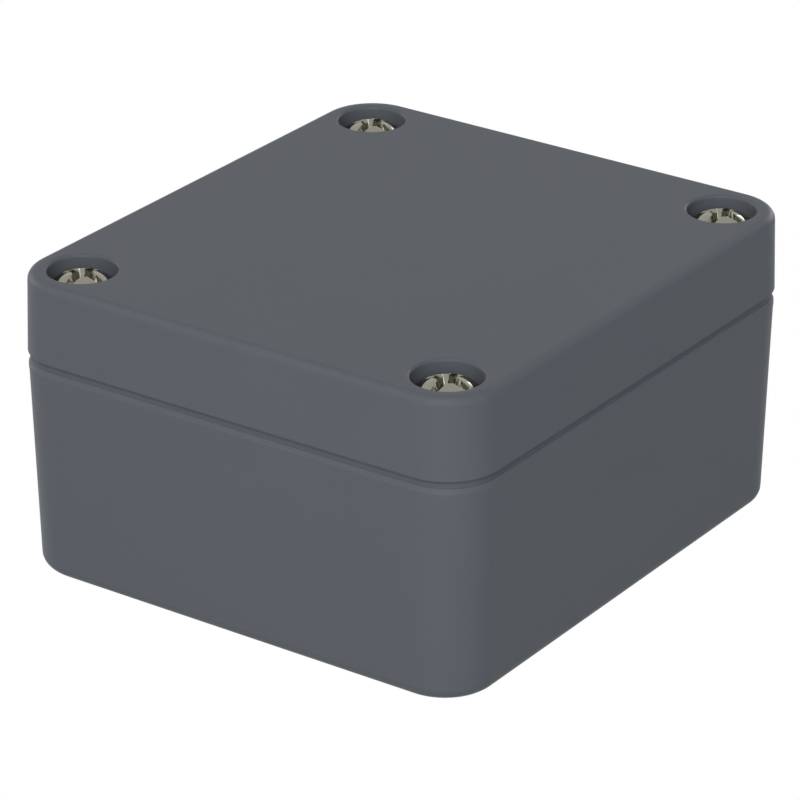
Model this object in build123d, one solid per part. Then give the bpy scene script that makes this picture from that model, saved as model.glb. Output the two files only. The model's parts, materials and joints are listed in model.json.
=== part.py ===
"""Small polyamide enclosure: a drafted base, a gasketed lid and four captive corner screws.

Frame: millimetres, origin at the centre of the underside, +Z up, the short side along X.
"""
import os
from math import sqrt

from build123d import *

# Outer form
WIDTH_X = 58.0              # lid across its lower edge, along X
LENGTH_Y = 64.0             # lid across its lower edge, along Y
HEIGHT = 34.0               # base and lid together
LID_HEIGHT = 9.63           # from the seam to the top
WALL_DRAFT = 1.2            # lean of every outer wall, in degrees
CORNER_R = 6.0              # upright corners
LID_TOP_ROUND = 1.0         # round along the lid's top edge
LID_LOW_ROUND = 0.4         # round along the lid's lower edge
BASE_RIM_ROUND = 0.3        # round along the base's top edge
BASE_FOOT_ROUND = 1.5       # round along the underside
SEAM_GAP = 0.15             # open line between lid and rim, set by the corner pads
RIM_INSET = 0.03            # how far the base's rim lies inside the lid's edge
BAND_HEIGHT = 1.1           # upright band along the base's rim
BAND_STEP = 0.05            # how far that band stands out from the drafted wall

# Walls and hollows
BASE_WALL = 3.3             # side wall of the base at its rim
BASE_FLOOR = 2.5
CAVITY_DRAFT = 0.8          # lean of the hollow's walls, in degrees
CAVITY_CORNER_R = 2.5       # outward corners of the hollow
NOTCH_CORNER_R = 3.6        # corners that pass round the screw posts
CAVITY_FLOOR_ROUND = 0.8
LID_ROOF = 2.5              # thickness of the lid's top

# Tongue, groove and gasket, all parallel to the edge of the hollow
TONGUE_WIDTH = 1.2
TONGUE_HEIGHT = 1.2         # above the lid's lower face
TONGUE_ROUND = 0.25
GROOVE_INSIDE = 0.3         # groove beyond the tongue, towards the hollow
GROOVE_OUTSIDE = 0.3        # groove beyond the tongue, towards the wall
GASKET_HEIGHT = 1.4
GASKET_SIDE_GAP = 0.05
RIB_WIDTH = 1.2             # lid rib between the groove and the hollow

# Corner screws
SCREW_EDGE = 6.0            # screw axis to the lid's lower edge, along X and along Y
HEAD_R = 3.5
HEAD_HEIGHT = 3.1           # seat to crown
HEAD_CROWN_R = 5.0          # ball that the top of the head is part of
HEAD_ROUND = 0.35           # round along the edge of the crown
HEAD_SUNK = 0.3             # crown below the top of the lid
RECESS_GAP = 0.25           # head to the wall of its recess
RECESS_RIM_ROUND = 0.35
SHANK_HOLE_GAP = 0.3        # thread to the hole through the lid
NECK_R = 1.55               # waisted part that keeps the screw captive
THREAD_R = 2.0
THREAD_START = 1.0          # below the seam
THREAD_LENGTH = 10.0
THREAD_TIP = 0.5            # chamfer at the end

# Cross recess in the head, its outline measured level with the crown
CROSS_SPAN = 6.0            # tip to tip of the wings
CROSS_TIP = 0.9             # width of a wing at its tip
CROSS_WING = 1.2            # width of a wing at the core
CROSS_CORE_R = 1.15         # axis to the flats between the wings
CROSS_DEPTH = 2.1
CROSS_FLOOR = 0.4           # size of the floor beside that of the outline
CROSS_ABOVE = 0.4           # how far the cutting form reaches above the crown

# Retaining rings in the lid
RING_R = 3.4
RING_HEIGHT = 1.0
RING_GAP = 0.15             # ring to the screw's neck
RING_INSET = 0.2            # below the lid's lower face
RING_FIT = 0.02             # ring to its seat

# Threaded inserts in the base
INSERT_R = 2.8
INSERT_LENGTH = 8.0
INSERT_INSET = 0.2          # below the top of its post
INSERT_FIT = 0.02           # insert to its hole
INSERT_GROOVE_WIDTH = 1.4
INSERT_GROOVE_DEPTH = 0.3
INSERT_CHAMFER = 0.3
SCREW_RUN_GAP = 0.05        # thread to the insert's bore
INSERT_WELL_SPARE = 4.0     # hole below the insert, for the end of the screw
PAD_R = 4.4                 # raised pad round each insert, where the lid lands

# Wall fixing wells, outside the gasket
WELL_FROM_SCREW = 7.5       # well axis to screw axis, along X
WELL_R = 3.7                # room for the head of an M4 screw
WELL_SEAT = 4.0             # thickness left under the head
WELL_WALL = 1.8             # between a well and the hollow
FIXING_HOLE_R = 2.15

# Board posts on the floor
BOARD_SPACING_X = 40.0
BOARD_SPACING_Y = 30.0
BOARD_POST_R = 3.0
BOARD_POST_HEIGHT = 5.0
BOARD_PILOT_R = 1.25
BOARD_PILOT_DEPTH = 6.0
BOARD_POST_ROUND = 0.5      # round at the foot of each post

# Places that follow from the sizes above
SEAM_Z = HEIGHT - LID_HEIGHT
RIM_Z = SEAM_Z - SEAM_GAP
SCREW_X = WIDTH_X / 2 - SCREW_EDGE
SCREW_Y = LENGTH_Y / 2 - SCREW_EDGE
WELL_X = SCREW_X - WELL_FROM_SCREW
CAVITY_HALF_X = WIDTH_X / 2 - BASE_WALL
CAVITY_HALF_Y = LENGTH_Y / 2 - BASE_WALL
NOTCH_X = WELL_X - WELL_R - WELL_WALL
NOTCH_Y = SCREW_Y - WELL_R - WELL_WALL
HEAD_TOP_Z = HEIGHT - HEAD_SUNK
HEAD_SEAT_Z = HEAD_TOP_Z - HEAD_HEIGHT
HEAD_EDGE_Z = HEAD_TOP_Z - HEAD_CROWN_R + sqrt(HEAD_CROWN_R**2 - HEAD_R**2)
RECESS_R = HEAD_R + RECESS_GAP
TONGUE_TOP_Z = SEAM_Z + TONGUE_HEIGHT
GROOVE_TOP_Z = TONGUE_TOP_Z + GASKET_HEIGHT
INSERT_TOP_Z = SEAM_Z - INSERT_INSET
CORNERS = {
    "front_left": (-1, -1),
    "front_right": (1, -1),
    "back_right": (1, 1),
    "back_left": (-1, 1),
}


def corner_places(x, y, z=0.0):
    """The same place in all four corners."""
    return [Pos(sx * x, sy * y, z) for sx, sy in CORNERS.values()]


def drafted_block(size_x, size_y, height):
    """Block standing on z = 0 whose walls lean inwards as they rise, with round upright corners."""
    block = extrude(Rectangle(size_x, size_y), amount=height, taper=WALL_DRAFT)
    uprights = block.edges().filter_by(lambda e: abs(e.tangent_at(0.5).Z) > 0.9)
    return fillet(uprights, CORNER_R)


def seal_outline(grow=0.0):
    """Edge of the hollow, which passes inside the corner posts, moved outwards by grow."""
    half_x, half_y = CAVITY_HALF_X + grow, CAVITY_HALF_Y + grow
    notch_x, notch_y = NOTCH_X + grow, NOTCH_Y + grow
    outline = Rectangle(2 * half_x, 2 * half_y)
    cut = Rectangle(half_x - notch_x, half_y - notch_y)
    for place in corner_places((half_x + notch_x) / 2, (half_y + notch_y) / 2):
        outline -= place * cut
    inward = outline.vertices().filter_by(
        lambda v: abs(v.X) < half_x - 0.01 and abs(v.Y) < half_y - 0.01
    )
    outline = fillet(inward, NOTCH_CORNER_R - grow)
    outward = outline.vertices().filter_by(
        lambda v: (abs(v.X) > half_x - 0.01 and abs(abs(v.Y) - notch_y) < 0.01)
        or (abs(v.Y) > half_y - 0.01 and abs(abs(v.X) - notch_x) < 0.01)
    )
    return fillet(outward, CAVITY_CORNER_R + grow)


def seal_band(inner, outer, low_z, high_z):
    """Closed band that follows the seal, between two distances from the edge of the hollow."""
    ring = seal_outline(outer) - seal_outline(inner)
    return Pos(0, 0, low_z) * extrude(ring, amount=high_z - low_z)


def base_shell():
    """Outer block of the base: drafted wall, upright band and rounded edges."""
    rim_x, rim_y = WIDTH_X - 2 * RIM_INSET, LENGTH_Y - 2 * RIM_INSET
    wall_top = RIM_Z - BAND_HEIGHT
    wall = drafted_block(rim_x - 2 * BAND_STEP, rim_y - 2 * BAND_STEP, wall_top)
    foot = wall.faces().sort_by(Axis.Z)[-1].edges()
    wall = Pos(0, 0, wall_top) * Rot(180, 0, 0) * fillet(foot, BASE_FOOT_ROUND)
    band = extrude(RectangleRounded(rim_x, rim_y, CORNER_R), amount=BAND_HEIGHT)
    band = fillet(band.faces().sort_by(Axis.Z)[-1].edges(), BASE_RIM_ROUND)
    return wall + Pos(0, 0, wall_top) * band


def base_cavity():
    """Hollow of the base, narrower towards the floor."""
    depth = RIM_Z - BASE_FLOOR
    hollow = extrude(seal_outline(), amount=depth, taper=CAVITY_DRAFT)
    floor_edges = hollow.faces().sort_by(Axis.Z)[-1].edges()
    hollow = fillet(floor_edges, CAVITY_FLOOR_ROUND)
    return Pos(0, 0, RIM_Z) * Rot(180, 0, 0) * hollow


def board_post():
    """Round post for a board screw, standing on z = 0."""
    post = Cylinder(BOARD_POST_R, BOARD_POST_HEIGHT, align=(Align.CENTER, Align.CENTER, Align.MIN))
    skirt = Cone(
        BOARD_POST_R + BOARD_POST_ROUND,
        BOARD_POST_R,
        BOARD_POST_ROUND,
        align=(Align.CENTER, Align.CENTER, Align.MIN),
    )
    return post + skirt


def upright_hole(radius, low_z, high_z):
    """Cylinder between two heights, for a hole."""
    hole = Cylinder(radius, high_z - low_z, align=(Align.CENTER, Align.CENTER, Align.MIN))
    return Pos(0, 0, low_z) * hole


def make_base():
    """Base with its tongue, board posts, screw posts and fixing wells."""
    base = base_shell() - base_cavity()
    tongue = seal_band(0, TONGUE_WIDTH, RIM_Z, TONGUE_TOP_Z)
    base += fillet(tongue.faces().sort_by(Axis.Z)[-1].edges(), TONGUE_ROUND)
    for place in corner_places(SCREW_X, SCREW_Y):
        base += place * upright_hole(PAD_R, RIM_Z, SEAM_Z)
    for place in corner_places(BOARD_SPACING_X / 2, BOARD_SPACING_Y / 2, BASE_FLOOR):
        base += place * board_post()
    insert_low_z = INSERT_TOP_Z - INSERT_LENGTH
    pilot_top_z = BASE_FLOOR + BOARD_POST_HEIGHT
    for place in corner_places(SCREW_X, SCREW_Y):
        base -= place * upright_hole(INSERT_R + INSERT_FIT, insert_low_z, SEAM_Z)
        base -= place * upright_hole(THREAD_R + SHANK_HOLE_GAP, insert_low_z - INSERT_WELL_SPARE, SEAM_Z)
    for place in corner_places(WELL_X, SCREW_Y):
        base -= place * upright_hole(WELL_R, WELL_SEAT, SEAM_Z)
        base -= place * upright_hole(FIXING_HOLE_R, 0, SEAM_Z)
    for place in corner_places(BOARD_SPACING_X / 2, BOARD_SPACING_Y / 2):
        base -= place * upright_hole(BOARD_PILOT_R, pilot_top_z - BOARD_PILOT_DEPTH, pilot_top_z)
    return base


def make_lid():
    """Lid with its gasket groove, hollow, screw recesses and ring seats."""
    lid = drafted_block(WIDTH_X, LENGTH_Y, LID_HEIGHT)
    lid = fillet(lid.faces().sort_by(Axis.Z)[-1].edges(), LID_TOP_ROUND)
    lid = fillet(lid.faces().sort_by(Axis.Z)[0].edges(), LID_LOW_ROUND)
    lid = Pos(0, 0, SEAM_Z) * lid
    lid -= seal_band(-GROOVE_INSIDE, TONGUE_WIDTH + GROOVE_OUTSIDE, SEAM_Z, GROOVE_TOP_Z)
    hollow = extrude(seal_outline(-GROOVE_INSIDE - RIB_WIDTH), amount=LID_HEIGHT - LID_ROOF)
    lid -= Pos(0, 0, SEAM_Z) * hollow
    for place in corner_places(SCREW_X, SCREW_Y):
        lid -= place * upright_hole(RECESS_R, HEAD_SEAT_Z, HEIGHT)
        lid -= place * upright_hole(THREAD_R + SHANK_HOLE_GAP, SEAM_Z, HEIGHT)
        lid -= place * upright_hole(RING_R + RING_FIT, SEAM_Z, SEAM_Z + RING_INSET + RING_HEIGHT)
    rims = lid.edges().filter_by(GeomType.CIRCLE).filter_by(
        lambda e: abs(e.radius - RECESS_R) < 0.01 and e.center().Z > HEIGHT - 0.01
    )
    return fillet(rims, RECESS_RIM_ROUND)


def make_gasket():
    """Gasket in the lid's groove, resting on the tongue."""
    inner = -GROOVE_INSIDE + GASKET_SIDE_GAP
    outer = TONGUE_WIDTH + GROOVE_OUTSIDE - GASKET_SIDE_GAP
    return seal_band(inner, outer, TONGUE_TOP_Z, GROOVE_TOP_Z)


def cross_outline(size):
    """Cross whose wings narrow to their tips and whose inner corners are cut flat."""
    tip, half_tip, half_wing = CROSS_SPAN / 2, CROSS_TIP / 2, CROSS_WING / 2
    root = CROSS_CORE_R * sqrt(2) - half_wing
    points = []
    for cos_turn, sin_turn in ((1, 0), (0, 1), (-1, 0), (0, -1)):
        for x, y in ((root, -half_wing), (tip, -half_tip), (tip, half_tip), (root, half_wing)):
            points.append((size * (x * cos_turn - y * sin_turn), size * (x * sin_turn + y * cos_turn)))
    return Polygon(*points)


def cross_recess():
    """Cutting form of the cross recess, with the crown at z = 0: it narrows evenly to its floor."""
    widening = 1 + (1 - CROSS_FLOOR) * CROSS_ABOVE / CROSS_DEPTH
    top = Pos(0, 0, CROSS_ABOVE) * cross_outline(widening)
    floor = Pos(0, 0, -CROSS_DEPTH) * cross_outline(CROSS_FLOOR)
    return loft([floor, top], ruled=True)


def make_screw():
    """Captive screw on its own axis: crowned head, waisted neck and threaded end."""
    tip_z = SEAM_Z - THREAD_START - THREAD_LENGTH
    thread_z = SEAM_Z - THREAD_START
    with BuildPart() as screw:
        with BuildSketch(Plane.XZ) as outline:
            with BuildLine():
                crown = TangentArc((0, HEAD_TOP_Z), (HEAD_R, HEAD_EDGE_Z), tangent=(1, 0))
                Polyline(
                    crown @ 1,
                    (HEAD_R, HEAD_SEAT_Z),
                    (NECK_R, HEAD_SEAT_Z),
                    (NECK_R, thread_z),
                    (THREAD_R, thread_z - THREAD_TIP),
                    (THREAD_R, tip_z + THREAD_TIP),
                    (THREAD_R - THREAD_TIP, tip_z),
                    (0, tip_z),
                    crown @ 0,
                )
            make_face()
            fillet(outline.vertices().group_by(Axis.X)[-1].sort_by(Axis.Y)[-1], HEAD_ROUND)
        revolve(axis=Axis.Z)
    return screw.part - Pos(0, 0, HEAD_TOP_Z) * cross_recess()


def make_ring():
    """Retaining ring round a screw's neck."""
    ring = upright_hole(RING_R, 0, RING_HEIGHT) - upright_hole(NECK_R + RING_GAP, 0, RING_HEIGHT)
    return Pos(0, 0, SEAM_Z + RING_INSET) * ring


def make_insert():
    """Threaded insert: a grooved bush, with its thread as a plain bore."""
    length, chamfer_size = INSERT_LENGTH, INSERT_CHAMFER
    bush = upright_hole(INSERT_R, 0, length)
    bush = chamfer(bush.edges().filter_by(GeomType.CIRCLE), chamfer_size)
    waist_low = (length - INSERT_GROOVE_WIDTH) / 2
    waist = upright_hole(INSERT_R, waist_low, waist_low + INSERT_GROOVE_WIDTH)
    waist -= upright_hole(INSERT_R - INSERT_GROOVE_DEPTH, waist_low, waist_low + INSERT_GROOVE_WIDTH)
    bush = bush - waist - upright_hole(THREAD_R + SCREW_RUN_GAP, 0, length)
    return Pos(0, 0, INSERT_TOP_Z - length) * bush


def make_nodes():
    """Every piece of the enclosure by name."""
    nodes = {"base": make_base(), "lid": make_lid(), "gasket": make_gasket()}
    small_parts = {
        "lid_screw": make_screw(),
        "screw_retainer": make_ring(),
        "threaded_insert": make_insert(),
    }
    for kind, part in small_parts.items():
        for corner, place in zip(CORNERS, corner_places(SCREW_X, SCREW_Y)):
            nodes[f"{kind}_{corner}"] = place * part
    return nodes


os.makedirs("parts", exist_ok=True)
for name, node in make_nodes().items():
    export_step(node, f"parts/{name}.step")
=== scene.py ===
"""Dresses the small polyamide enclosure: finishes, threaded screws, inserts, and a plain white studio."""
from __future__ import annotations

import json
import logging
import math
from dataclasses import dataclass, field
from enum import Enum
from typing import Any

import bpy
import bmesh
from mathutils import Matrix, Vector

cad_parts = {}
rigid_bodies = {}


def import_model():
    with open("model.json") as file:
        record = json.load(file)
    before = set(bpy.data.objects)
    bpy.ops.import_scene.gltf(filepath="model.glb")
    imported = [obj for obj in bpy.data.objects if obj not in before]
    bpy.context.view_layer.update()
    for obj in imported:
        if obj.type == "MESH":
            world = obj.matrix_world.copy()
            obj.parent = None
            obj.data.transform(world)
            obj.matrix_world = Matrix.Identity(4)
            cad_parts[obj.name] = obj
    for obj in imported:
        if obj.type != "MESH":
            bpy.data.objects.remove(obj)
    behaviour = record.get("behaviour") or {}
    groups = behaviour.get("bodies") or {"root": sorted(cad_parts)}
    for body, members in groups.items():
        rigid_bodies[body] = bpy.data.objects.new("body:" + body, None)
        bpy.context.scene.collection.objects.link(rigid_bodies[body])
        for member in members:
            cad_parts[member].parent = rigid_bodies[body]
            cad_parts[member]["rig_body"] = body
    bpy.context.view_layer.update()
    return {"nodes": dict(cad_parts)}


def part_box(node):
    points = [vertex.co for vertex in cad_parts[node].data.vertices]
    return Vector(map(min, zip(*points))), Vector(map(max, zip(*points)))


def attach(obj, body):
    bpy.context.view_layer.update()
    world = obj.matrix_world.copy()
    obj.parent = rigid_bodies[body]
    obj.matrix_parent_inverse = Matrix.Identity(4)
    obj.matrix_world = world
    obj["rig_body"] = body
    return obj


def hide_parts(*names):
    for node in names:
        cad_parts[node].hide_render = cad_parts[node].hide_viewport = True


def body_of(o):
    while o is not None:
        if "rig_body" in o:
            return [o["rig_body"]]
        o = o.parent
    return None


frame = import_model()
CORNER_RADIUS = 0.0060
CORNER_STEPS = 16
LOG = logging.getLogger("enclosure")

Number = float
Colour = tuple[float, float, float]


class Slot(Enum):
    """Material slots of the record."""

    HOUSING = "housing"
    GASKET = "gasket"
    SCREW = "screw"
    RETAINER = "retainer"
    INSERT = "insert"


class Corner(Enum):
    """Corners of the enclosure, as the CAD names them."""

    FRONT_LEFT = "front_left"
    FRONT_RIGHT = "front_right"
    BACK_RIGHT = "back_right"
    BACK_LEFT = "back_left"


class Sock:
    """One output of a shader node, for use in Python expressions."""

    def __init__(self, tree: "ShaderTree", socket: Any) -> None:
        """Keep the socket and the tree that it belongs to.

        Args:
            tree: The tree that new Math nodes go into.
            socket: The node output.
        """
        self.tree = tree
        self.socket = socket

    def __add__(self, other: Any) -> "Sock":
        """Sum of two values."""
        return self.tree.math("ADD", self, other)

    def __radd__(self, other: Any) -> "Sock":
        """Sum with a plain number on the left."""
        return self.tree.math("ADD", other, self)

    def __sub__(self, other: Any) -> "Sock":
        """Difference of two values."""
        return self.tree.math("SUBTRACT", self, other)

    def __rsub__(self, other: Any) -> "Sock":
        """Difference with a plain number on the left."""
        return self.tree.math("SUBTRACT", other, self)

    def __mul__(self, other: Any) -> "Sock":
        """Product of two values."""
        return self.tree.math("MULTIPLY", self, other)

    def __rmul__(self, other: Any) -> "Sock":
        """Product with a plain number on the left."""
        return self.tree.math("MULTIPLY", other, self)


class ShaderTree:
    """Node tree of one material or world, built from code."""

    def __init__(self, tree: bpy.types.NodeTree) -> None:
        """Start from an empty tree.

        Args:
            tree: The node tree to fill.
        """
        self.tree = tree
        self.tree.nodes.clear()

    def node(
        self,
        kind: str,
        inputs: dict[Any, Any] | None = None,
        stops: list[tuple[float, Colour]] | None = None,
        **settings: Any,
    ) -> bpy.types.Node:
        """Add a node, set it up, then fill its sockets.

        Args:
            kind: Blender's type name of the node.
            inputs: Socket name or number to a value or a Sock.
            stops: Places and colours of a colour ramp.
            **settings: Attributes of the node, such as a Math node's operation.

        Returns:
            The new node.
        """
        made = self.tree.nodes.new(kind)
        for name, value in settings.items():
            setattr(made, name, value)
        if stops:
            elements = made.color_ramp.elements
            while len(elements) < len(stops):
                elements.new(1.0)
            for element, (place, colour) in zip(elements, stops):
                element.position = place
                element.color = (*colour, 1.0)
        for key, value in (inputs or {}).items():
            socket = made.inputs[key]
            if isinstance(value, Sock):
                self.tree.links.new(value.socket, socket)
            elif isinstance(value, tuple) and socket.type == "RGBA":
                socket.default_value = (*value, 1.0)
            else:
                socket.default_value = value
        return made

    def out(self, node: bpy.types.Node, name: Any = 0) -> Sock:
        """One output of a node as a Sock."""
        return Sock(self, node.outputs[name])

    def math(self, operation: str, *values: Any) -> Sock:
        """Add a Math node for one operation on values or Socks."""
        return self.out(self.node("ShaderNodeMath", dict(enumerate(values)), operation=operation))

    def position(self, scale: tuple[float, float, float] = (1.0, 1.0, 1.0)) -> Sock:
        """Object coordinates in metres, stretched by a scale along each axis."""
        coords = self.out(self.node("ShaderNodeTexCoord"), "Object")
        return self.out(self.node("ShaderNodeMapping", {"Vector": coords, "Scale": scale}))

    def noise(self, place: Sock, scale: float, detail: float = 2.0) -> Sock:
        """Soft noise between 0 and 1."""
        inputs = {"Vector": place, "Scale": scale, "Detail": detail, "Roughness": 0.5}
        return self.out(self.node("ShaderNodeTexNoise", inputs), 0)

    def blend(self, factor: Any, low: Colour, high: Colour) -> Sock:
        """Colour between two colours."""
        inputs = {0: factor, 6: low, 7: high}
        mix = self.node("ShaderNodeMix", inputs, data_type="RGBA")
        return self.out(mix, 2)

    def bump(self, height: Sock, depth: float, strength: float) -> Sock:
        """Normal bent by a height map, whose full range is a depth in metres."""
        inputs = {"Height": height, "Distance": depth, "Strength": strength}
        return self.out(self.node("ShaderNodeBump", inputs), "Normal")

    def surface(self, shader: Sock) -> None:
        """Make a shader the tree's output."""
        kind = "ShaderNodeOutputWorld" if self.tree.nodes.get("World") else "ShaderNodeOutputMaterial"
        self.node(kind, {"Surface": shader})


def new_material(name: str) -> tuple[bpy.types.Material, ShaderTree]:
    """Make an empty material.

    Args:
        name: The material's name.

    Returns:
        The material and its tree.
    """
    material = bpy.data.materials.new(name)
    material.use_nodes = True
    return material, ShaderTree(material.node_tree)


@dataclass(frozen=True)
class MouldedPolyamide:
    """Dark blue-grey moulded polyamide, satin, with a very fine even grain."""

    colour: Colour = (0.0895, 0.0950, 0.1045)
    colour_play: float = 0.03
    roughness: float = 0.44
    roughness_play: float = 0.04
    specular: float = 0.06
    grain_scale: float = 5200.0
    grain_depth: float = 0.000006
    cloud_scale: float = 90.0

    def material(self) -> bpy.types.Material:
        """Build the material."""
        material, tree = new_material("moulded_polyamide")
        place = tree.position()
        cloud = tree.noise(place, self.cloud_scale)
        grain = tree.noise(place, self.grain_scale, 3.0)
        low = tuple(c * (1 - self.colour_play) for c in self.colour)
        high = tuple(c * (1 + self.colour_play) for c in self.colour)
        shader = tree.node(
            "ShaderNodeBsdfPrincipled",
            {
                "Base Color": tree.blend(cloud * 0.6 + grain * 0.4, low, high),
                "Roughness": self.roughness + self.roughness_play * (grain - 0.5),
                "Specular IOR Level": self.specular,
                "Normal": tree.bump(grain, self.grain_depth, 0.5),
            },
        )
        tree.surface(tree.out(shader))
        return material


@dataclass(frozen=True)
class StainlessSteel:
    """Bright stainless steel with faint turning marks."""

    colour: Colour = (0.26, 0.25, 0.205)
    roughness: float = 0.12
    roughness_play: float = 0.08
    mark_scale: float = 2500.0

    def material(self) -> bpy.types.Material:
        """Build the material."""
        material, tree = new_material("stainless_steel")
        marks = tree.noise(tree.position((1.0, 1.0, 4.0)), self.mark_scale)
        shader = tree.node(
            "ShaderNodeBsdfPrincipled",
            {
                "Base Color": self.colour,
                "Metallic": 1.0,
                "Roughness": self.roughness + self.roughness_play * (marks - 0.5),
            },
        )
        tree.surface(tree.out(shader))
        return material


@dataclass(frozen=True)
class TurnedBrass:
    """Turned brass with fine rings along its axis."""

    colour: Colour = (0.70, 0.50, 0.22)
    roughness: float = 0.24
    ring_scale: float = 3000.0
    ring_depth: float = 0.000008

    def material(self) -> bpy.types.Material:
        """Build the material."""
        material, tree = new_material("turned_brass")
        rings = tree.noise(tree.position((0.02, 0.02, 1.0)), self.ring_scale)
        shader = tree.node(
            "ShaderNodeBsdfPrincipled",
            {
                "Base Color": self.colour,
                "Metallic": 1.0,
                "Roughness": self.roughness + 0.12 * (rings - 0.5),
                "Normal": tree.bump(rings, self.ring_depth, 0.4),
            },
        )
        tree.surface(tree.out(shader))
        return material


@dataclass(frozen=True)
class CellularRubber:
    """Black closed-cell gasket rubber with open pores on its skin."""

    colour: Colour = (0.022, 0.022, 0.024)
    roughness: float = 0.85
    pore_scale: float = 3500.0
    pore_depth: float = 0.00004

    def material(self) -> bpy.types.Material:
        """Build the material."""
        material, tree = new_material("cellular_rubber")
        place = tree.position()
        pores = tree.out(
            tree.node("ShaderNodeTexVoronoi", {"Vector": place, "Scale": self.pore_scale}), "Distance"
        )
        high = tuple(c * 1.8 for c in self.colour)
        shader = tree.node(
            "ShaderNodeBsdfPrincipled",
            {
                "Base Color": tree.blend(pores, self.colour, high),
                "Roughness": self.roughness,
                "Normal": tree.bump(pores, self.pore_depth, 0.7),
            },
        )
        tree.surface(tree.out(shader))
        return material


@dataclass(frozen=True)
class NaturalPolyamide:
    """Milky uncoloured polyamide of the retaining rings."""

    colour: Colour = (0.66, 0.64, 0.57)
    roughness: float = 0.38
    cloud_scale: float = 900.0

    def material(self) -> bpy.types.Material:
        """Build the material."""
        material, tree = new_material("natural_polyamide")
        cloud = tree.noise(tree.position(), self.cloud_scale)
        low = tuple(c * 0.94 for c in self.colour)
        shader = tree.node(
            "ShaderNodeBsdfPrincipled",
            {
                "Base Color": tree.blend(cloud, low, self.colour),
                "Roughness": self.roughness + 0.1 * (cloud - 0.5),
            },
        )
        tree.surface(tree.out(shader))
        return material


def dress(piece: bpy.types.Object, material: bpy.types.Material) -> None:
    """Give a piece one material in its only slot.

    Args:
        piece: A CAD node's object or a new piece.
        material: The finish.
    """
    piece.data.materials.clear()
    piece.data.materials.append(material)


@dataclass
class Housing:
    """Base and lid mouldings, the gasket between them and the rings in the lid."""

    plastic: MouldedPolyamide = field(default_factory=MouldedPolyamide)
    rubber: CellularRubber = field(default_factory=CellularRubber)
    ring_plastic: NaturalPolyamide = field(default_factory=NaturalPolyamide)

    def build(self) -> None:
        """Dress the mouldings, the gasket and the rings."""
        plastic = self.plastic.material()
        PartingGroove().build(plastic)
        LidLip().build(plastic)
        dress(frame["nodes"]["gasket"], self.rubber.material())
        LOG.info("dressed gasket")
        ring = self.ring_plastic.material()
        for corner in Corner:
            dress(frame["nodes"][f"screw_retainer_{corner.value}"], ring)
            LOG.info("dressed retaining ring %s", corner.value)


def select_only(piece: bpy.types.Object) -> None:
    """Make a piece the only selected object, and the active one."""
    bpy.ops.object.select_all(action="DESELECT")
    piece.select_set(True)
    bpy.context.view_layer.objects.active = piece


def apply_modifier(piece: bpy.types.Object, kind: str, **settings: Any) -> None:
    """Add a modifier to a piece and apply it.

    Args:
        piece: The piece.
        kind: Blender's type name of the modifier.
        **settings: Attributes of the modifier.
    """
    select_only(piece)
    modifier = piece.modifiers.new(kind.lower(), kind)
    for name, value in settings.items():
        setattr(modifier, name, value)
    bpy.ops.object.modifier_apply(modifier=modifier.name)


def cut_away(piece: bpy.types.Object, tool: bpy.types.Object) -> None:
    """Cut a closed form out of a piece, and throw the form away."""
    apply_modifier(piece, "BOOLEAN", object=tool, operation="DIFFERENCE", solver="EXACT")
    bpy.data.objects.remove(tool)


def turned(name: str, profile: list[tuple[float, float]], sides: int = 64) -> bpy.types.Object:
    """Turn a closed piece about the Z axis: a disc drawn upwards and widened or narrowed step by step.

    Args:
        name: The piece's name.
        profile: Radius and height of each step in metres, from the bottom up.
        sides: Corners of the disc.

    Returns:
        The new piece.
    """
    bpy.ops.object.select_all(action="DESELECT")
    radius, height = profile[0]
    bpy.ops.mesh.primitive_circle_add(
        vertices=sides, radius=radius, fill_type="NGON", location=(0.0, 0.0, height)
    )
    piece = bpy.context.object
    piece.name = name
    bpy.ops.object.transform_apply(location=True)
    bpy.ops.object.mode_set(mode="EDIT")
    for next_radius, next_height in profile[1:]:
        rise = (0.0, 0.0, next_height - height)
        bpy.ops.mesh.extrude_region_move(TRANSFORM_OT_translate={"value": rise})
        factor = next_radius / radius
        bpy.ops.transform.resize(value=(factor, factor, 1.0), center_override=(0.0, 0.0, next_height))
        radius, height = next_radius, next_height
    bpy.ops.mesh.select_all(action="SELECT")
    bpy.ops.mesh.normals_make_consistent(inside=False)
    bpy.ops.object.mode_set(mode="OBJECT")
    return piece


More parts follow.
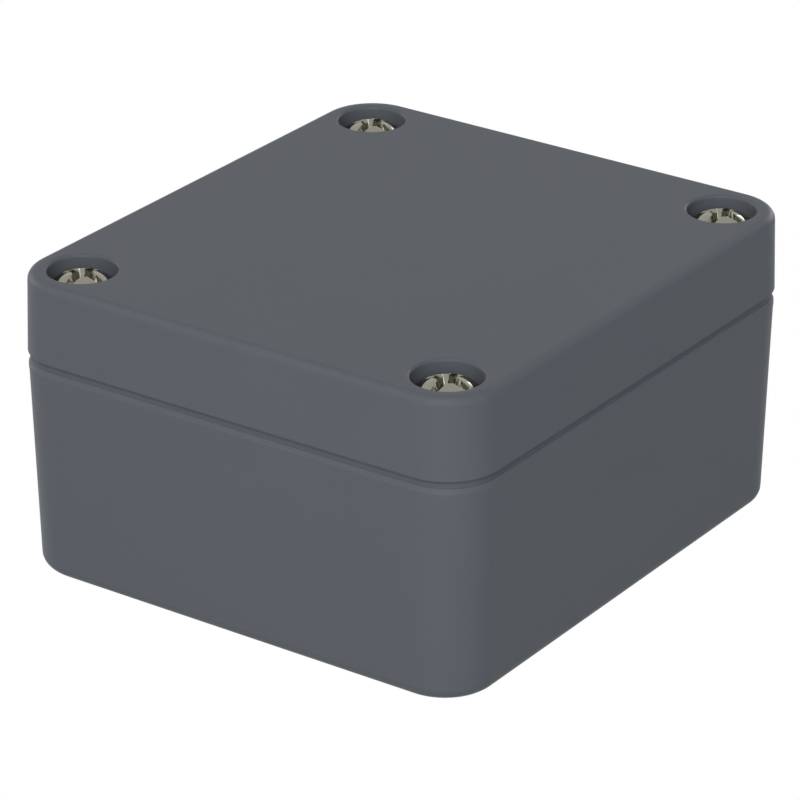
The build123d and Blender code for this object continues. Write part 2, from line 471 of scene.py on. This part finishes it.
def thread_form(apex: float, mouth: float, pitch: float, low: float, high: float) -> bpy.types.Object:
    """Closed helical bar with a 60 degree V section, for cutting a thread.

    Args:
        apex: Radius of the sharp edge in metres.
        mouth: Radius of the flat side.
        pitch: Rise of one turn.
        low: Height where the bar starts.
        high: Height that it passes before it ends.

    Returns:
        The bar, a right-hand helix about the Z axis.
    """
    bpy.ops.object.select_all(action="DESELECT")
    size = (mouth - apex) / 1.5
    middle = apex + size
    bpy.ops.mesh.primitive_circle_add(
        vertices=3,
        radius=abs(size),
        fill_type="NOTHING",
        location=(middle, 0.0, low),
        rotation=(math.radians(90.0), 0.0, 0.0),
    )
    bar = bpy.context.object
    bpy.ops.object.transform_apply(location=True, rotation=True)
    bpy.ops.object.mode_set(mode="EDIT")
    bpy.ops.mesh.select_all(action="SELECT")
    quarter = math.radians(90.0 if size > 0 else -90.0)
    bpy.ops.transform.rotate(value=quarter, orient_axis="Y", center_override=(middle, 0.0, low))
    bpy.ops.object.mode_set(mode="OBJECT")
    turns = math.ceil((high - low) / pitch)
    apply_modifier(
        bar, "SCREW", axis="Z", angle=math.radians(360.0), screw_offset=pitch,
        iterations=turns, steps=32, render_steps=32, use_merge_vertices=False,
    )
    bpy.ops.object.mode_set(mode="EDIT")
    bpy.ops.mesh.select_all(action="SELECT")
    bpy.ops.mesh.remove_doubles(threshold=0.000001)
    bpy.ops.mesh.fill_holes(sides=0)
    bpy.ops.mesh.select_all(action="SELECT")
    bpy.ops.mesh.normals_make_consistent(inside=False)
    bpy.ops.object.mode_set(mode="OBJECT")
    return bar


def set_in_place(piece: bpy.types.Object, node: str, material: bpy.types.Material) -> None:
    """Let a copy of a turned piece stand for a CAD node, on the same axis.

    Args:
        piece: The piece, made about the Z axis at its true height.
        node: The CAD node.
        material: Its finish.
    """
    low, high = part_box(node)
    copy = bpy.data.objects.new(f"{node}_detailed", piece.data.copy())
    bpy.context.scene.collection.objects.link(copy)
    axis = ((low[0] + high[0]) / 2, (low[1] + high[1]) / 2, 0.0)
    copy.location = axis
    select_only(copy)
    bpy.ops.object.transform_apply(location=True)
    dress(copy, material)
    bpy.ops.object.shade_smooth_by_angle(angle=math.radians(32.0))
    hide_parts(node)
    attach(copy, body_of(frame["nodes"][node])[0])
    LOG.info("made %s", copy.name)


def rounded_plate(name: str, half: tuple[float, float], height: float, radius: float) -> bpy.types.Object:
    """Make a flat rectangle with rounded corners, and leave it in edit mode with its face selected.

    Args:
        name: The piece's name.
        half: Half its sizes along X and Y in metres.
        height: Its place along Z.
        radius: Radius of the corners.

    Returns:
        The new piece.
    """
    bpy.ops.object.select_all(action="DESELECT")
    bpy.ops.mesh.primitive_plane_add(size=2.0, location=(0.0, 0.0, height))
    plate = bpy.context.object
    plate.name = name
    plate.scale = (*half, 1.0)
    bpy.ops.object.transform_apply(location=True, scale=True)
    bpy.ops.object.mode_set(mode="EDIT")
    bpy.ops.mesh.bevel(offset=radius, segments=CORNER_STEPS, affect="VERTICES")
    bpy.ops.mesh.select_all(action="SELECT")
    return plate


def close_edit() -> None:
    """Point every normal outwards and leave edit mode."""
    bpy.ops.mesh.select_all(action="SELECT")
    bpy.ops.mesh.normals_make_consistent(inside=False)
    bpy.ops.object.mode_set(mode="OBJECT")


@dataclass
class LidLip:
    """Thin lip under the lid's edge that closes the seam; sizes in metres."""

    inset: float = 0.000335
    width: float = 0.0008
    root: float = 0.0001
    reach: float = 0.00013

    def build(self, material: bpy.types.Material) -> None:
        """Draw the lip as a rounded frame round the lid's lower face.

        Args:
            material: The lid's own finish.
        """
        low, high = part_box("lid")
        half = (high[0] - self.inset, high[1] - self.inset)
        lip = rounded_plate("lid_lip", half, low[2] + self.root, CORNER_RADIUS - self.inset)
        bpy.ops.mesh.inset(thickness=self.width)
        bpy.ops.mesh.delete(type="FACE")
        bpy.ops.mesh.select_all(action="SELECT")
        bpy.ops.mesh.extrude_region_move(TRANSFORM_OT_translate={"value": (0, 0, -self.root - self.reach)})
        close_edit()
        dress(lip, material)
        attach(lip, body_of(frame["nodes"]["lid"])[0])
        LOG.info("made %s", lip.name)


@dataclass
class PartingGroove:
    """Shallow hollow round the parting line, overhung by the lid; sizes in metres from the lid's lower face."""

    above: float = 0.00074
    below: float = 0.00071
    band_foot: float = 0.00130
    wall_inset: float = 0.00007
    slopes: tuple[tuple[float, float], ...] = ((0.00012, 0.00019), (0.00014, 0.00045), (0.00006, 0.00045))
    spare: float = 0.0005
    surround: float = 0.002
    merge: float = 0.000001
    smooth_angle: float = 30.0

    def ring(self) -> bpy.types.Object:
        """Closed ring whose inner side is the hollow's form."""
        low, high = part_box("lid")
        foot, head = low[2] - self.band_foot, low[2] + self.above
        wall = (high[0] - self.wall_inset, high[1] - self.wall_inset)
        core = rounded_plate("core", wall, foot - self.spare, CORNER_RADIUS - self.wall_inset)
        rise = self.band_foot - self.below + self.spare
        bpy.ops.mesh.extrude_region_move(TRANSFORM_OT_translate={"value": (0, 0, rise)})
        for inset, rise in self.slopes:
            bpy.ops.mesh.inset(thickness=inset, depth=rise)
        bpy.ops.mesh.extrude_region_move(TRANSFORM_OT_translate={"value": (0, 0, self.spare * 2)})
        close_edit()
        ring = rounded_plate("ring", (high[0] + self.surround, high[1] + self.surround), foot, CORNER_RADIUS)
        bpy.ops.mesh.extrude_region_move(TRANSFORM_OT_translate={"value": (0, 0, head - foot)})
        close_edit()
        cut_away(ring, core)
        return ring

    def groove(self, node: str, ring: bpy.types.Object, material: bpy.types.Material) -> None:
        """Let a grooved copy stand for a CAD node.

        Args:
            node: The CAD node.
            ring: The cutting form, which is used up.
            material: The node's finish.
        """
        source = frame["nodes"][node]
        piece = bpy.data.objects.new(f"{node}_grooved", source.data.copy())
        bpy.context.scene.collection.objects.link(piece)
        select_only(piece)
        bpy.ops.mesh.customdata_custom_splitnormals_clear()
        bpy.ops.object.mode_set(mode="EDIT")
        bpy.ops.mesh.select_all(action="SELECT")
        bpy.ops.mesh.remove_doubles(threshold=self.merge)
        bpy.ops.object.mode_set(mode="OBJECT")
        cut_away(piece, ring)
        dress(piece, material)
        select_only(piece)
        bpy.ops.object.shade_smooth_by_angle(angle=math.radians(self.smooth_angle))
        apply_modifier(piece, "WEIGHTED_NORMAL", keep_sharp=True)
        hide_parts(node)
        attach(piece, body_of(source)[0])
        LOG.info("made %s", piece.name)

    def build(self, material: bpy.types.Material) -> None:
        """Cut the hollow into copies of the lid and the base."""
        for node in ("lid", "base"):
            self.groove(node, self.ring(), material)


@dataclass
class CaptiveScrew:
    """Crowned cross-recess screw with a waisted neck; sizes in metres, heights above its tip."""

    steel: StainlessSteel = field(default_factory=StainlessSteel)
    tip_chamfer: float = 0.0005
    thread_radius: float = 0.0020
    thread_root: float = 0.00158
    thread_pitch: float = 0.0007
    thread_height: float = 0.0100
    neck_radius: float = 0.00155
    seat_height: float = 0.01723
    head_radius: float = 0.0035
    head_round: float = 0.00035
    crown_height: float = 0.02033
    crown_radius: float = 0.0050
    crown_steps: int = 12
    wing_reach: float = 0.0030
    wing_tip: float = 0.0009
    wing_root: float = 0.00136
    core_flat: float = 0.00115
    recess_depth: float = 0.0021
    recess_above: float = 0.0004
    floor_share: float = 0.4
    edge_round: float = 0.00005

    def blank(self, tip: float) -> bpy.types.Object:
        """Turn the screw without its recess and thread, its tip at a height."""
        edge = self.crown_radius - math.sqrt(self.crown_radius**2 - self.head_radius**2)
        edge_height = self.crown_height - edge
        profile = [
            (self.thread_radius - self.tip_chamfer, 0.0),
            (self.thread_radius, self.tip_chamfer),
            (self.thread_radius, self.thread_height - self.tip_chamfer),
            (self.neck_radius, self.thread_height),
            (self.neck_radius, self.seat_height),
            (self.head_radius - self.edge_round, self.seat_height),
            (self.head_radius, self.seat_height + self.edge_round),
        ]
        turn = math.asin((self.head_radius - self.head_round) / (self.crown_radius - self.head_round))
        middle = self.crown_height - self.crown_radius
        middle += (self.crown_radius - self.head_round) * math.cos(turn)
        for step in range(5):
            angle = (math.pi / 2 - turn) * step / 4
            radius = self.head_radius - self.head_round * (1 - math.cos(angle))
            profile.append((radius, middle + self.head_round * math.sin(angle)))
        for step in range(1, self.crown_steps):
            angle = turn * (1 - step / self.crown_steps)
            height = self.crown_height - self.crown_radius * (1 - math.cos(angle))
            profile.append((self.crown_radius * math.sin(angle), height))
        return turned("screw", [(radius, tip + height) for radius, height in profile])

    def wing(self, crown: float) -> bpy.types.Object:
        """One arm of the recess's cutting form, from the axis outwards along +X."""
        bpy.ops.object.select_all(action="DESELECT")
        bpy.ops.mesh.primitive_cube_add(size=1.0, location=(0.5, 0.0, 0.5))
        arm = bpy.context.object
        bpy.ops.object.transform_apply(location=True)
        low, high = self.floor_share, self.mouth_share()
        for vertex in arm.data.vertices:
            outer, upper = vertex.co.x > 0.5, vertex.co.z > 0.5
            share = high if upper else low
            width = self.wing_tip if outer else self.wing_root
            level = self.recess_above if upper else -self.recess_depth
            vertex.co = (self.wing_reach * share * outer, vertex.co.y * width * share, crown + level)
        return arm

    def mouth_share(self) -> float:
        """Size of the cutting form's top beside its outline level with the crown."""
        return 1 + (1 - self.floor_share) * self.recess_above / self.recess_depth

    def cut_recess(self, piece: bpy.types.Object, crown: float) -> None:
        """Cut the cross recess: four narrowing wings and a core with flats between them."""
        for quarter in range(4):
            arm = self.wing(crown)
            arm.rotation_euler = (0.0, 0.0, math.radians(90.0 * quarter))
            cut_away(piece, arm)
        bpy.ops.object.select_all(action="DESELECT")
        corner = self.core_flat * math.sqrt(2.0)
        bpy.ops.mesh.primitive_cone_add(
            vertices=4,
            radius1=corner * self.floor_share,
            radius2=corner * self.mouth_share(),
            depth=self.recess_depth + self.recess_above,
            location=(0.0, 0.0, crown + (self.recess_above - self.recess_depth) / 2),
        )
        cut_away(piece, bpy.context.object)

    def soften(self, piece: bpy.types.Object) -> None:
        """Round the recess's sharp edges a little."""
        select_only(piece)
        bpy.ops.object.mode_set(mode="EDIT")
        bpy.ops.mesh.select_all(action="SELECT")
        bpy.ops.mesh.remove_doubles(threshold=self.edge_round / 3)
        bpy.ops.object.mode_set(mode="OBJECT")
        apply_modifier(
            piece, "BEVEL", width=self.edge_round, segments=2, limit_method="ANGLE",
            angle_limit=math.radians(28.0), use_clamp_overlap=False,
        )

    def build(self) -> None:
        """Make one screw and put a copy in each corner."""
        tip = float(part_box(f"lid_screw_{Corner.FRONT_LEFT.value}")[0][2])
        screw = self.blank(tip)
        self.cut_recess(screw, tip + self.crown_height)
        self.soften(screw)
        low, high = tip - self.thread_pitch, tip + self.thread_height
        mouth = self.thread_radius + 0.0001
        cut_away(screw, thread_form(self.thread_root, mouth, self.thread_pitch, low, high))
        material = self.steel.material()
        for corner in Corner:
            set_in_place(screw, f"lid_screw_{corner.value}", material)
        bpy.data.objects.remove(screw)


@dataclass
class ThreadedInsert:
    """Knurled brass insert with a groove round its middle; sizes in metres, heights above its foot."""

    brass: TurnedBrass = field(default_factory=TurnedBrass)
    radius: float = 0.0028
    chamfer: float = 0.0003
    length: float = 0.0080
    groove_width: float = 0.0014
    groove_depth: float = 0.0003
    collar_height: float = 0.0007
    bore_radius: float = 0.00205
    thread_root: float = 0.0023
    thread_pitch: float = 0.0007
    knurls: int = 40
    knurl_depth: float = 0.00018

    def blank(self, foot: float) -> bpy.types.Object:
        """Turn the insert without its bore, its foot at a height."""
        groove_low = (self.length - self.groove_width) / 2
        groove_high = groove_low + self.groove_width
        waist = self.radius - self.groove_depth
        profile = [
            (self.radius - self.chamfer, 0.0),
            (self.radius, self.chamfer),
            (self.radius, groove_low),
            (waist, groove_low),
            (waist, groove_high),
            (self.radius, groove_high),
            (self.radius, self.length - self.chamfer - self.collar_height),
            (self.radius - self.knurl_depth, self.length - self.chamfer - self.collar_height),
            (self.radius - self.knurl_depth, self.length - self.chamfer),
            (self.radius - self.chamfer, self.length),
        ]
        return turned("insert", [(r, foot + z) for r, z in profile], sides=2 * self.knurls)

    def knurl(self, piece: bpy.types.Object) -> None:
        """Press every second corner of the widest rings inwards."""
        for vertex in piece.data.vertices:
            place = vertex.co
            reach = math.hypot(place.x, place.y)
            step = round(math.atan2(place.y, place.x) / math.pi * self.knurls)
            if reach > self.radius - 0.00001 and step % 2:
                place.x *= 1 - self.knurl_depth / reach
                place.y *= 1 - self.knurl_depth / reach

    def build(self) -> None:
        """Make one insert and put a copy in each corner."""
        foot = float(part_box(f"threaded_insert_{Corner.FRONT_LEFT.value}")[0][2])
        insert = self.blank(foot)
        self.knurl(insert)
        top = foot + self.length
        over = self.thread_pitch
        bore = [(self.bore_radius, foot - over), (self.bore_radius, top + over)]
        cut_away(insert, turned("bore", bore))
        mouth = self.bore_radius - 0.0001
        cut_away(insert, thread_form(self.thread_root, mouth, self.thread_pitch, foot - over, top))
        material = self.brass.material()
        for corner in Corner:
            set_in_place(insert, f"threaded_insert_{corner.value}", material)
        bpy.data.objects.remove(insert)


@dataclass
class Viewpoint:
    """The photograph's camera: a long lens, 35 degrees round from the front and 25 above."""

    azimuth: float = 35.0
    elevation: float = 25.0
    lens: float = 200.0
    sensor: float = 36.0
    place: Vector = field(default_factory=lambda: Vector((0.247449, -0.354694, 0.216828)))

    def build(self) -> None:
        """Add the camera and make it the scene's own."""
        data = bpy.data.cameras.new("camera")
        data.lens = self.lens
        data.sensor_width = self.sensor
        data.clip_start = 0.01
        camera = bpy.data.objects.new("camera", data)
        camera.location = self.place
        turn = (math.radians(90.0 - self.elevation), 0.0, math.radians(self.azimuth))
        camera.rotation_euler = turn
        bpy.context.scene.collection.objects.link(camera)
        bpy.context.scene.camera = camera


@dataclass(frozen=True)
class Lamp:
    """Square area lamp that points at the object; degrees, metres and watts."""

    name: str
    azimuth: float
    elevation: float
    power: float
    size: float = 0.5
    distance: float = 1.2
    colour: Colour = (1.0, 1.0, 1.0)

    def build(self) -> None:
        """Hang the lamp round from the front towards +X by its azimuth, facing the object."""
        azimuth, elevation = math.radians(self.azimuth), math.radians(self.elevation)
        data = bpy.data.lights.new(self.name, "AREA")
        data.size = self.size
        data.energy = self.power
        data.color = self.colour
        lamp = bpy.data.objects.new(self.name, data)
        lamp.location = self.distance * Vector((
            math.sin(azimuth) * math.cos(elevation),
            -math.cos(azimuth) * math.cos(elevation),
            math.sin(elevation),
        ))
        lamp.rotation_euler = (math.pi / 2 - elevation, 0.0, azimuth)
        bpy.context.scene.collection.objects.link(lamp)
        LOG.info("hung the %s lamp", self.name)


@dataclass
class Studio:
    """White floor and surroundings, with lamps in front, a small one at the left and weak ones behind."""

    floor_size: float = 6.0
    floor_colour: Colour = (0.8, 0.8, 0.8)
    sky_colour: Colour = (0.08, 0.09, 0.105)
    lamps: tuple[Lamp, ...] = (
        Lamp("key", azimuth=25.0, elevation=43.0, power=8.6),
        Lamp("high", azimuth=38.0, elevation=64.0, power=2.6, size=0.2),
        Lamp("side", azimuth=38.0, elevation=15.0, power=4.2, colour=(0.85, 1.0, 1.15)),
        Lamp("left", azimuth=-50.0, elevation=48.0, power=1.4, size=0.2),
        Lamp("rear", azimuth=180.0, elevation=12.0, power=4.0),
        Lamp("far_side", azimuth=270.0, elevation=12.0, power=4.0),
    )

    def background_rays(self, tree: ShaderTree) -> Sock:
        """1 for rays that should see the plain white surroundings: camera, mirror and glass rays."""
        path = tree.node("ShaderNodeLightPath")
        seen = tree.math("MAXIMUM", tree.out(path, "Is Camera Ray"), tree.out(path, "Is Glossy Ray"))
        return tree.math("MAXIMUM", seen, tree.out(path, "Is Transmission Ray"))

    def world(self) -> None:
        """White surroundings that light the object at a lower level."""
        world = bpy.data.worlds.new("studio")
        world.use_nodes = True
        tree = ShaderTree(world.node_tree)
        dim = tree.node("ShaderNodeBackground", {"Color": self.sky_colour, "Strength": 1.0})
        white = tree.node("ShaderNodeBackground", {"Color": (1.0, 1.0, 1.0), "Strength": 1.0})
        inputs = {0: self.background_rays(tree), 1: tree.out(dim), 2: tree.out(white)}
        mix = tree.node("ShaderNodeMixShader", inputs)
        tree.node("ShaderNodeOutputWorld", {"Surface": tree.out(mix)})
        bpy.context.scene.world = world

    def floor(self) -> None:
        """Floor that shows plain white to camera, mirror and glass rays, and is a diffuse white to all other
        light.
        """
        bpy.ops.object.select_all(action="DESELECT")
        bpy.ops.mesh.primitive_plane_add(size=self.floor_size, location=(0.0, 0.0, 0.0))
        floor = bpy.context.object
        floor.name = "floor"
        material, tree = new_material("floor_white")
        paint = tree.node("ShaderNodeBsdfDiffuse", {"Color": self.floor_colour})
        glow = tree.node("ShaderNodeEmission", {"Color": (1.0, 1.0, 1.0), "Strength": 1.0})
        inputs = {0: self.background_rays(tree), 1: tree.out(paint), 2: tree.out(glow)}
        mix = tree.node("ShaderNodeMixShader", inputs)
        tree.surface(tree.out(mix))
        dress(floor, material)

    def build(self) -> None:
        """Set up the surroundings and the lamps."""
        self.world()
        self.floor()
        for lamp in self.lamps:
            lamp.build()
        bpy.context.scene.view_settings.view_transform = "Standard"


def main() -> None:
    """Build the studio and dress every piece."""
    logging.basicConfig(level=logging.INFO, format="%(message)s")
    Viewpoint().build()
    Studio().build()
    Housing().build()
    CaptiveScrew().build()
    ThreadedInsert().build()


if __name__ == "__main__":
    main()
